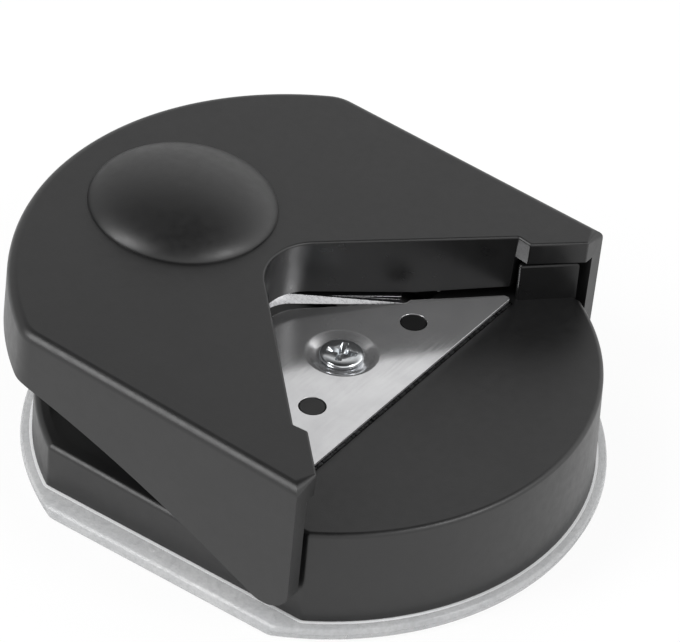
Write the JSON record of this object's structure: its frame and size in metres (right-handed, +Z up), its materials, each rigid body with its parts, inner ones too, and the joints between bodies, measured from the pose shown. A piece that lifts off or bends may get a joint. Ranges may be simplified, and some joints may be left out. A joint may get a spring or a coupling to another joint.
{
  "type": "corner rounder",
  "caption": "Desktop lever punch with a notched thumb lever over a V-shaped die plate, rounding a card's corner, with a clear pull-off tray.",
  "frame": {"origin": "on the underside of the clear tray, below the centre of its round outline", "axes": "+Z up, +Y from the card notch towards the thumb dome, +X to the right of someone who looks along +Y"},
  "size_m": [0.061, 0.0709, 0.0285],
  "materials": {
    "black_moulding": "satin black ABS with a fine spark-eroded grain",
    "clear_moulding": "clear polystyrene, polished outside and lightly frosted inside",
    "tool_steel": "ground hardened steel",
    "polished_steel": "polished stainless sheet",
    "plated_steel": "bright zinc-plated steel"
  },
  "bodies": {
    "base": {"base_housing": "black_moulding", "die_plate": "tool_steel", "card_plate": "polished_steel", "plate_screw": "plated_steel", "hinge_pin": "plated_steel", "return_spring": "plated_steel"},
    "lever": {"lever_cover": "black_moulding", "blade": "tool_steel", "blade_screw_left": "plated_steel", "blade_screw_right": "plated_steel"},
    "tray": {"chip_tray": "clear_moulding"}
  },
  "joints": [
    {"name": "lever_press", "type": "hinge", "parent": "base", "child": "lever", "pos_m": [0, -0.015, 0.0082], "axis": [-1, 0, 0], "range_deg": [0, 6.5], "stiffness_Nm_per_rad": 1.5, "springref_deg": -8.59, "deforming": ["return_spring"]},
    {"name": "tray_pull", "type": "slide", "parent": "base", "child": "tray", "axis": [0, 0, -1], "range_m": [0, 0.02]}
  ]
}
